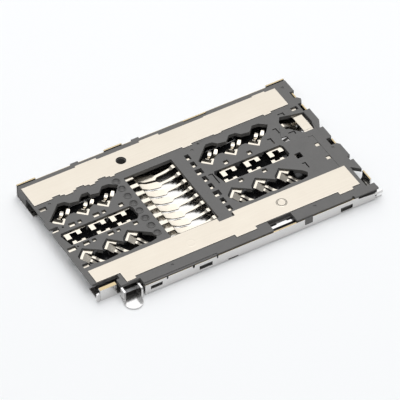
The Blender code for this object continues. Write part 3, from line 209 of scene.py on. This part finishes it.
def makeFinish(name, look, marks=()):
    material = bpy.data.materials.new(name + "Finish")
    material.use_nodes = True
    tree = material.node_tree
    shader = tree.nodes["Principled BSDF"]
    fill(shader, Metallic=look["metal"])
    place = addNode(tree, "ShaderNodeTexCoord", (-6, 0))
    stretch = addNode(tree, "ShaderNodeMapping", (-5, -1))
    fill(stretch, Scale=look["stretch"])
    patch = addNode(tree, "ShaderNodeTexNoise", (-4, 1))
    fill(patch, Scale=look["patch"], Detail=surfaceNoise["patchDetail"],
         Roughness=surfaceNoise["patchRough"])
    grain = addNode(tree, "ShaderNodeTexNoise", (-4, -1))
    fill(grain, Scale=look["grain"], Detail=surfaceNoise["grainDetail"],
         Roughness=surfaceNoise["grainRough"])
    both = addNode(tree, "ShaderNodeMix", (-3, 0), data_type="FLOAT")
    fill(both, Factor=surfaceNoise["grainShare"])
    tone = addNode(tree, "ShaderNodeMix", (-2, 1), data_type="RGBA")
    tone.inputs[colourA].default_value = (*look["dark"], 1)
    tone.inputs[colourB].default_value = (*look["light"], 1)
    # edges that hands, trays and the press have rubbed, together with a painted highlight on the rounded edges, both
    # broken up by the patches
    edge = addNode(tree, "ShaderNodeAttribute", (-4, 2), attribute_name="edgeWearAndHighlight")
    rubbedAndHighlight = sums(tree, "MULTIPLY", (edge, "Fac"), (patch, "Fac"), (-3, 2))
    wornAndHighlight = addNode(tree, "ShaderNodeMix", (-1, 1), data_type="RGBA")
    wornAndHighlight.inputs[colourB].default_value = (*look["wornAndHighlight"], 1)
    rough = addNode(tree, "ShaderNodeMapRange", (-2, 0))
    fill(rough, From_Min=surfaceNoise["roughSpan"][0], From_Max=surfaceNoise["roughSpan"][1],
         To_Min=look["rough"][0], To_Max=look["rough"][1])
    bump = addNode(tree, "ShaderNodeBump", (-2, -1))
    fill(bump, Strength=look["bump"], Distance=surfaceNoise["bumpDepth"] * mm)
    wire(tree,
         (place, "Object", stretch, "Vector"), (place, "Object", patch, "Vector"),
         (stretch, "Vector", grain, "Vector"), (patch, "Fac", both, floatA), (grain, "Fac", both, floatB),
         (both, 0, tone, 0), (tone, colourOut, wornAndHighlight, colourA), (rubbedAndHighlight[0], 0, wornAndHighlight, 0),
         (patch, "Fac", rough, "Value"), (grain, "Fac", bump, "Height"),
         (wornAndHighlight, colourOut, shader, "Base Color"), (rough, "Result", shader, "Roughness"))
    last = bump
    if marks:
        ring = markHeight(tree, place, marks)
        last = addNode(tree, "ShaderNodeBump", (-1, -2))
        fill(last, Strength=1.0, Distance=markRidge["height"] * mm)
        wire(tree, (ring[0], ring[1], last, "Height"), (bump, "Normal", last, "Normal"))
    wire(tree, (last, "Normal", shader, "Normal"))
    return material


finishMaterials = {name: makeFinish(name, look) for name, look in finishes.items()}
finishMaterials["markedTin"] = makeFinish("markedTin", finishes["tin"], pressMarks)
finishMaterials["shellSteel"] = makeFinish("shellSteel", finishes["steel"])
paintShellShadeAndRims(finishMaterials["shellSteel"], shellShadeAndRims)
print("finishes made:", len(finishMaterials))


# Rounded copies of the stamped and moulded pieces

edgeLooks = {
    "housing": {"width": 0.014, "segments": 2},
    "shell": {"width": 0.018, "segments": 2, "finish": "shellSteel"},
    "rear_ground_strip": {"width": 0.024, "segments": 2},
    "front_ground_strip": {"width": 0.024, "segments": 2, "finish": "markedTin"},
    "push_rod": {"width": 0.014, "segments": 2},
    "eject_lever": {"width": 0.014, "segments": 2},
    "lever_rivet": {"width": 0.020, "segments": 3},
    "switch_terminal": {"width": 0.014, "segments": 2},
    "switch_spring": {"width": 0.014, "segments": 2},
}
turnLimit = 0.6          # edges that turn by less than this stay as they are
keepCrease = 0.3         # flat faces that meet at more than this show a crease
roomAlong = 3.0          # a rounded edge is longer than this many widths
roomBeside = 2.2         # and has more than this many widths free on both sides


def nodeCopy(node):
    bm = bmesh.new()
    bm.from_mesh(frame["nodes"][node].data)
    bmesh.ops.remove_doubles(bm, verts=bm.verts, dist=weldGap * mm)
    return bm


def roomyEdges(bm, width):
    # edges that turn a corner and have space round them for a rounding of this width
    chosen = []
    for edge in bm.edges:
        if len(edge.link_faces) != 2 or edge.calc_face_angle(0) < turnLimit:
            continue
        length = edge.calc_length()
        beside = [other.calc_length() for vert in edge.verts for other in vert.link_edges if other != edge]
        beside += [2 * face.calc_area() / length for face in edge.link_faces]
        if length > roomAlong * width and min(beside) > roomBeside * width:
            chosen.append(edge)
    return chosen


def roundEdges(bm, look):
    width = look["width"] * mm
    # rounded faces are marked so that the finish paints them lighter: partly wear, partly a painted highlight
    wearAndHighlight = bm.faces.layers.float.new("edgeWearAndHighlight")
    result = bmesh.ops.bevel(bm, geom=roomyEdges(bm, width), offset=width, segments=look["segments"],
                             profile=0.5, affect="EDGES", clamp_overlap=False)
    for face in result["faces"]:
        face[wearAndHighlight] = 1.0


def objectFrom(bm, name):
    mesh = bpy.data.meshes.new(name)
    bm.to_mesh(mesh)
    bm.free()
    made = bpy.data.objects.new(name, mesh)
    bpy.context.scene.collection.objects.link(made)
    return made


def settle(piece):
    # the evaluated shape becomes a plain mesh and the modifiers go
    graph = bpy.context.evaluated_depsgraph_get()
    done = bpy.data.meshes.new_from_object(piece.evaluated_get(graph), depsgraph=graph)
    done.name = piece.name
    piece.modifiers.clear()
    piece.data = done
    return piece


def evenNormals(piece):
    # flat faces stay flat right up to a rounding, which turns from one to the next
    mesh = piece.data
    wearAndHighlight = mesh.attributes.get("edgeWearAndHighlight")
    rounded = [bool(wearAndHighlight and wearAndHighlight.data[face.index].value) for face in mesh.polygons]
    alike = math.cos(keepCrease)
    flats = {}
    for face, isRounded in zip(mesh.polygons, rounded):
        if isRounded:
            continue
        for vert in face.vertices:
            flats.setdefault(vert, []).append((face.normal.copy(), face.area))
    normals = []
    for face, isRounded in zip(mesh.polygons, rounded):
        for vert in face.vertices:
            beside = flats.get(vert, [])
            if not isRounded:
                beside = [(way, area) for way, area in beside if way.dot(face.normal) > alike]
            total = sum((way * area for way, area in beside), Vector())
            normals.append(total.normalized() if total.length else mesh.vertices[vert].normal.copy())
    mesh.shade_smooth()
    mesh.normals_split_custom_set(normals)


def stand(piece, nodes, finish=None):
    # the piece takes these nodes' place, body and finish
    slot = recordSlots[nodes[0]]
    piece.data.materials.clear()
    piece.data.materials.append(finishMaterials[finish or slot])
    evenNormals(piece)
    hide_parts(*nodes)
    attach(piece, nodeBodies[nodes[0]])


for node, look in edgeLooks.items():
    bm = nodeCopy(node)
    roundEdges(bm, look)
    stand(objectFrom(bm, node + "Piece"), [node], look.get("finish"))
print("rounded pieces made")


# Node trees for what is stamped again and again

stripInputs = (("Length", "Float"), ("Width", "Float"), ("Shift", "Float"), ("Drop", "Float"),
               ("Crown", "Float"), ("Sheet", "Float"))
lineInputs = (("Count", "Int"), ("Pitch", "Vector"), ("First", "Vector"), ("Last Shift", "Vector"),
              ("Finish", "Material"))
crownPower = 4.0         # a strip stays flat across and only its sides turn down
stripWeld = 0.0005       # its two skins and its edge are welded within this


def newTree(name, *inputs):
    tree = bpy.data.node_groups.new(name, "GeometryNodeTree")
    for label, kind in inputs:
        tree.interface.new_socket(label, in_out="INPUT", socket_type="NodeSocket" + kind)
    tree.interface.new_socket("Geometry", in_out="OUTPUT", socket_type="NodeSocketGeometry")
    return tree, addNode(tree, "NodeGroupInput", (-9, 0)), addNode(tree, "NodeGroupOutput", (9, 0))


def runTree(piece, tree, values):
    # each value goes in by its socket's identifier, and the result becomes a plain mesh
    grown = piece.modifiers.new(tree.name, "NODES")
    grown.node_group = tree
    for item in tree.interface.items_tree:
        if item.in_out == "INPUT" and item.name in values:
            grown[item.identifier] = values[item.name]
    return settle(piece)


def stripValues(look, length):
    sizes = {label: look[label.lower()] * mm for label in ("Width", "Shift", "Drop", "Crown", "Sheet")}
    return {"Length": length, **sizes}


def sprungStrip(tree, given, look):
    # a strip along X: its width, side shift and drop follow drawn rules, and it has the sheet's thickness
    grid = addNode(tree, "GeometryNodeMeshGrid", (-7, 2))
    fill(grid, Size_X=1.0, Size_Y=1.0, Vertices_X=look["steps"][0], Vertices_Y=look["steps"][1])
    at = addNode(tree, "GeometryNodeInputPosition", (-8, 0))
    split = addNode(tree, "ShaderNodeSeparateXYZ", (-7, 0))
    wire(tree, (at, 0, split, 0))
    along = sums(tree, "ADD", (split, "X"), 0.5, (-6, 0))
    wide = ruleCurve(tree, along, look["widthRule"], (-5, 1))
    shift = ruleCurve(tree, along, look["shiftRule"], (-5, 0))
    drop = ruleCurve(tree, along, look["dropRule"], (-5, -1))
    x = sums(tree, "MULTIPLY", along, (given, "Length"), (-4, 2))
    across = sums(tree, "MULTIPLY", wide, (split, "Y"), (-4, 1))
    across = sums(tree, "MULTIPLY", across, (given, "Width"), (-3, 1))
    aside = sums(tree, "MULTIPLY", shift, (given, "Shift"), (-4, 0))
    y = sums(tree, "ADD", across, aside, (-2, 1))
    sunk = sums(tree, "MULTIPLY", drop, (given, "Drop"), (-4, -1))
    bow = sums(tree, "POWER", sums(tree, "ABSOLUTE", (split, "Y"), 0.0, (-5, -2)), crownPower, (-4, -2))
    bow = sums(tree, "MULTIPLY", bow, (given, "Crown"), (-3, -2))
    z = sums(tree, "MULTIPLY", sums(tree, "ADD", sunk, bow, (-2, -1)), -1.0, (-1, -1))
    joined = addNode(tree, "ShaderNodeCombineXYZ", (-1, 1))
    wire(tree, (x[0], 0, joined, "X"), (y[0], 0, joined, "Y"), (z[0], 0, joined, "Z"))
    shaped = addNode(tree, "GeometryNodeSetPosition", (0, 2))
    under = addNode(tree, "GeometryNodeFlipFaces", (1, 1))
    thick = addNode(tree, "GeometryNodeExtrudeMesh", (2, 1), mode="FACES")
    fill(thick, Individual=False)
    both = addNode(tree, "GeometryNodeJoinGeometry", (3, 2))
    welded = addNode(tree, "GeometryNodeMergeByDistance", (4, 2))
    fill(welded, Distance=stripWeld * mm)
    wire(tree,
         (grid, "Mesh", shaped, "Geometry"), (joined, 0, shaped, "Position"), (shaped, 0, under, 0),
         (under, 0, thick, "Mesh"), (given, "Sheet", thick, "Offset Scale"), (thick, "Mesh", both, 0),
         (shaped, 0, both, 0), (both, 0, welded, "Geometry"))
    return welded


def pitchedCopies(tree, given, source):
    # copies along a line; the last may stand a little closer, as in the first bank
    line = addNode(tree, "GeometryNodeMeshLine", (5, 3))
    index = addNode(tree, "GeometryNodeInputIndex", (4, 5))
    final = sums(tree, "SUBTRACT", (given, "Count"), 1.0, (4, 4))
    isLast = addNode(tree, "FunctionNodeCompare", (5, 4), data_type="INT", operation="GREATER_EQUAL")
    moved = addNode(tree, "GeometryNodeSetPosition", (6, 3))
    copies = addNode(tree, "GeometryNodeInstanceOnPoints", (7, 2))
    wire(tree,
         (given, "Count", line, "Count"), (given, "Pitch", line, "Offset"),
         (given, "First", line, "Start Location"), (index, 0, isLast, intA), (final[0], 0, isLast, intB),
         (line, "Mesh", moved, "Geometry"), (isLast, "Result", moved, "Selection"),
         (given, "Last Shift", moved, "Offset"), (moved, "Geometry", copies, "Points"),
         (source, 0, copies, "Instance"))
    return copies


def finishTree(tree, given, source, leave):
    real = addNode(tree, "GeometryNodeRealizeInstances", (7, 0))
    coat = addNode(tree, "GeometryNodeSetMaterial", (8, 0))
    wire(tree, (source, 0, real, 0), (real, 0, coat, 0), (given, "Finish", coat, "Material"),
         (coat, 0, leave, 0))


def emptyPiece(name):
    return objectFrom(bmesh.new(), name)


# The memory card leaves

cardLeaf = {
    "width": 0.82, "shift": 0.60, "drop": 0.54, "sheet": 0.10, "crown": 0.014, "halfStub": 0.21,
    "steps": (60, 7),
    "widthRule": ((0, 0.51), (0.145, 0.51), (0.175, 0.80), (0.28, 1.0), (0.42, 1.0), (0.475, 0.34),
                  (0.68, 0.32), (0.715, 0.51), (1, 0.51)),
    "shiftRule": ((0, 1), (0.15, 1), (0.28, 0.50), (0.42, 0.20), (0.48, 0.10), (0.70, 0), (1, 0)),
    "dropRule": ((0, 0), (0.148, 0), (0.18, 0.74), (0.28, 0.95), (0.42, 1.0), (0.48, 0.90), (0.69, 0.33),
                 (0.72, 0.08), (1, 0.075)),
}
leafNodes = sorted(name for name in frame["nodes"] if name.startswith("card_contact"))
firstLow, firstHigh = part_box(leafNodes[0])
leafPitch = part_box(leafNodes[1])[0].y - firstLow.y
leafLine = firstHigh.y - (cardLeaf["shift"] + cardLeaf["halfStub"]) * mm

leafTree, leafIn, leafOut = newTree("cardLeaves", *stripInputs, *lineInputs)
leafStrip = sprungStrip(leafTree, leafIn, cardLeaf)
finishTree(leafTree, leafIn, pitchedCopies(leafTree, leafIn, leafStrip), leafOut)
leaves = runTree(emptyPiece("cardLeaves"), leafTree, {
    **stripValues(cardLeaf, firstHigh.x - firstLow.x),
    "Count": len(leafNodes), "Pitch": (0, leafPitch, 0), "First": (firstLow.x, leafLine, firstHigh.z),
    "Last Shift": (0, 0, 0), "Finish": finishMaterials[recordSlots[leafNodes[0]]]})
stand(leaves, leafNodes)
print("card leaves made:", len(leaves.data.polygons), "faces")


# The SIM contacts: a stamped base for each and two curled fingers, in four rows of three

simFinger = {
    "width": 0.34, "shift": 0.0, "drop": 0.32, "sheet": 0.10, "crown": 0.020, "steps": (26, 7),
    "reach": 1.72, "farShare": 0.72, "near": 0.22, "far": 0.72, "sunk": 0.30,
    "arm": (0.6816, 0.7317), "leg": (-0.7021, 0.7121), "legLength": 1.10, "root": 0.94, "tuck": 0.05,
    "cutPast": 0.01, "topSpan": 0.001, "tipSpan": 0.05, "edges": {"width": 0.016, "segments": 2},
    "widthRule": ((0, 0.94), (0.14, 0.94), (0.50, 0.90), (0.70, 0.97), (0.88, 1.0), (1, 0.80)),
    "shiftRule": ((0, 0), (1, 0)),
    "dropRule": ((0, 0), (0.14, 0.10), (0.50, 0.84), (0.70, 1.0), (0.80, 0.94), (1, 0.45)),
}
simRows = {
    "bankARear": {"contacts": (1, 2, 3), "side": 1},
    "bankAFront": {"contacts": (4, 5, 6), "side": -1},
    "bankBRear": {"contacts": (7, 8, 9), "side": 1},
    "bankBFront": {"contacts": (10, 11, 12), "side": -1},
}

fingerTree, fingerIn, fingerOut = newTree(
    "simFingers", ("Base", "Geometry"), *stripInputs, ("Turn", "Vector"), ("Far Place", "Vector"),
    ("Far Scale", "Vector"), *lineInputs)
fingerStrip = sprungStrip(fingerTree, fingerIn, simFinger)
nearFinger = addNode(fingerTree, "GeometryNodeTransform", (4, 4))
farFinger = addNode(fingerTree, "GeometryNodeTransform", (4, 3))
fingerPair = addNode(fingerTree, "GeometryNodeJoinGeometry", (5, 4))
wire(fingerTree,
     (fingerStrip, 0, nearFinger, "Geometry"), (fingerIn, "Turn", nearFinger, "Rotation"),
     (fingerStrip, 0, farFinger, "Geometry"), (fingerIn, "Turn", farFinger, "Rotation"),
     (fingerIn, "Far Place", farFinger, "Translation"), (fingerIn, "Far Scale", farFinger, "Scale"),
     (nearFinger, 0, fingerPair, 0), (farFinger, 0, fingerPair, 0))
fingerCopies = pitchedCopies(fingerTree, fingerIn, fingerPair)
withBase = addNode(fingerTree, "GeometryNodeJoinGeometry", (6, 3))
wire(fingerTree, (fingerIn, "Base", withBase, 0), (fingerCopies, 0, withBase, 0))
finishTree(fingerTree, fingerIn, withBase, fingerOut)


def contactWays(side):
    # where the arm and the leg of a contact point; the front rows mirror the rear ones
    return [Vector((simFinger[part][0], side * simFinger[part][1], 0)) for part in ("arm", "leg")]


def contactCorner(node, side):
    # the leg's outer tip gives the corner that everything on a contact is measured from
    arm, leg = contactWays(side)
    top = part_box(node)[1].z - simFinger["topSpan"] * mm
    tops = [vert.co for vert in frame["nodes"][node].data.vertices if vert.co.z > top]
    reach = max(place.dot(leg) for place in tops)
    tips = [place for place in tops if place.dot(leg) > reach - simFinger["tipSpan"] * mm]
    return min(tips, key=lambda place: place.dot(arm)) - leg * simFinger["legLength"] * mm


def contactBase(node, corner, side):
    # the copy loses its plain fingers where they leave the sloping body
    bm = nodeCopy(node)
    arm = contactWays(side)[0].normalized()
    cut = corner + arm * (simFinger["root"] + simFinger["cutPast"]) * mm
    geometry = bm.verts[:] + bm.edges[:] + bm.faces[:]
    bmesh.ops.bisect_plane(bm, geom=geometry, dist=weldGap * mm, plane_co=cut, plane_no=arm,
                           clear_outer=True)
    bmesh.ops.holes_fill(bm, edges=[edge for edge in bm.edges if edge.is_boundary])
    roundEdges(bm, simFinger["edges"])
    return bm


for name, row in simRows.items():
    side = row["side"]
    nodes = [f"sim_contact_{number}" for number in row["contacts"]]
    corners = [contactCorner(node, side) for node in nodes]
    base = bmesh.new()
    for node, corner in zip(nodes, corners):
        stamped = contactBase(node, corner, side)
        mesh = bpy.data.meshes.new("stampedBase")
        stamped.to_mesh(mesh)
        stamped.free()
        base.from_mesh(mesh)
        bpy.data.meshes.remove(mesh)
    arm, leg = contactWays(side)
    start = corners[0] + arm * (simFinger["root"] - simFinger["tuck"]) * mm + leg * simFinger["near"] * mm
    pitch = corners[1] - corners[0]
    piece = runTree(objectFrom(base, name), fingerTree, {
        **stripValues(simFinger, simFinger["reach"] * mm),
        "Count": len(nodes), "Pitch": pitch, "First": start - Vector((0, 0, simFinger["sunk"] * mm)),
        "Last Shift": corners[2] - corners[1] - pitch, "Turn": (0, 0, math.atan2(arm.y, arm.x)),
        "Far Place": leg * (simFinger["far"] - simFinger["near"]) * mm,
        "Far Scale": (simFinger["farShare"], 1, 1), "Finish": finishMaterials[recordSlots[nodes[0]]]})
    stand(piece, nodes)
print("SIM contacts made")


# Raised rims round the ejector pins' dimples beside the card window

pinRims = {"radius": 0.37, "ridge": 0.055, "beside": 0.62, "aside": 0.72, "sunk": 0.06, "count": 8,
           "resolution": (28, 8)}
rimTree, rimIn, rimOut = newTree("pinRims", ("Radius", "Float"), ("Ridge", "Float"), *lineInputs)
rimLine = addNode(rimTree, "GeometryNodeCurvePrimitiveCircle", (0, 2))
rimSection = addNode(rimTree, "GeometryNodeCurvePrimitiveCircle", (0, 1))
rimSweep = addNode(rimTree, "GeometryNodeCurveToMesh", (1, 2))
fill(rimLine, Resolution=pinRims["resolution"][0])
fill(rimSection, Resolution=pinRims["resolution"][1])
wire(rimTree, (rimIn, "Radius", rimLine, "Radius"), (rimIn, "Ridge", rimSection, "Radius"),
     (rimLine, "Curve", rimSweep, "Curve"), (rimSection, "Curve", rimSweep, "Profile Curve"))
finishTree(rimTree, rimIn, pitchedCopies(rimTree, rimIn, rimSweep), rimOut)
rimFirst = (firstLow.x - pinRims["beside"] * mm, leafLine + pinRims["aside"] * mm,
            cadBox[1].z - pinRims["sunk"] * mm)
rims = runTree(emptyPiece("pinRims"), rimTree, {
    "Radius": pinRims["radius"] * mm, "Ridge": pinRims["ridge"] * mm, "Count": pinRims["count"],
    "Pitch": (0, leafPitch, 0), "First": rimFirst, "Last Shift": (0, 0, 0),
    "Finish": finishMaterials["moulding"]})
evenNormals(rims)
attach(rims, nodeBodies["housing"])
print("rims made")


# Camera, floor and light

cameraView = {"azimuth": -30.098, "elevation": 44.755, "distance": 362.165, "lens": 351.7,
              "aim": (-0.488, -0.518, 0.770), "sensor": 36, "clip": (10, 5000)}
floorLook = {"size": 600, "tone": (0.94, 0.94, 0.935), "rough": 0.9}
lights = {
    "rearBank": {"azimuth": 150, "elevation": 50, "distance": 280, "size": 280, "power": 0.24},
    "topBank": {"azimuth": 0, "elevation": 86, "distance": 300, "size": 260, "power": 0.27},
}
skyTone = {"colour": (0.95, 0.97, 1.0), "horizon": 0.36, "zenith": 1.0, "rise": (0.55, 0.95)}


def outward(azimuth, elevation):
    # unit direction from the object, in the same sense as the camera's angles
    a, e = math.radians(azimuth), math.radians(elevation)
    return Vector((math.sin(a) * math.cos(e), -math.cos(a) * math.cos(e), math.sin(e)))


def makeCamera(view):
    data = bpy.data.cameras.new("camera")
    data.lens = view["lens"]
    data.sensor_width = view["sensor"]
    data.clip_start, data.clip_end = (reach * mm for reach in view["clip"])
    camera = bpy.data.objects.new("camera", data)
    bpy.context.scene.collection.objects.link(camera)
    back = outward(view["azimuth"], view["elevation"])
    camera.location = Vector(view["aim"]) * mm + back * view["distance"] * mm
    camera.rotation_euler = Euler((math.radians(90 - view["elevation"]), 0, math.radians(view["azimuth"])))
    bpy.context.scene.camera = camera


def makeFloor(look):
    bm = bmesh.new()
    bmesh.ops.create_grid(bm, x_segments=1, y_segments=1, size=look["size"] / 2 * mm)
    floor = objectFrom(bm, "floor")
    floor.location.z = cadBox[0].z
    material = bpy.data.materials.new("floorPaper")
    material.use_nodes = True
    paper = material.node_tree.nodes["Principled BSDF"]
    fill(paper, Base_Color=(*look["tone"], 1), Roughness=look["rough"])
    floor.data.materials.append(material)


def makeLight(name, look):
    data = bpy.data.lights.new(name, "AREA")
    data.shape = "SQUARE"
    data.size = look["size"] * mm
    data.energy = look["power"]
    light = bpy.data.objects.new(name, data)
    bpy.context.scene.collection.objects.link(light)
    way = outward(look["azimuth"], look["elevation"])
    light.location = way * look["distance"] * mm
    light.rotation_euler = way.to_track_quat("Z", "Y").to_euler()


def makeSky(look):
    # dim at the horizon and bright overhead, like a room with light ceilings
    world = bpy.data.worlds.new("studio")
    world.use_nodes = True
    tree = world.node_tree
    background = tree.nodes["Background"]
    background.inputs["Color"].default_value = (*look["colour"], 1)
    place = addNode(tree, "ShaderNodeTexCoord", (-4, 0))
    split = addNode(tree, "ShaderNodeSeparateXYZ", (-3, 0))
    rise = addNode(tree, "ShaderNodeMapRange", (-2, 0), interpolation_type="SMOOTHSTEP")
    fill(rise, From_Min=look["rise"][0], From_Max=look["rise"][1], To_Min=look["horizon"],
         To_Max=look["zenith"])
    wire(tree, (place, "Generated", split, 0), (split, "Z", rise, "Value"),
         (rise, "Result", background, "Strength"))
    bpy.context.scene.world = world


makeCamera(cameraView)
makeFloor(floorLook)
for name, look in lights.items():
    makeLight(name, look)
makeSky(skyTone)
bpy.context.scene.view_settings.view_transform = "Standard"
print("camera, floor and lights made")

bpy.context.view_layer.update()
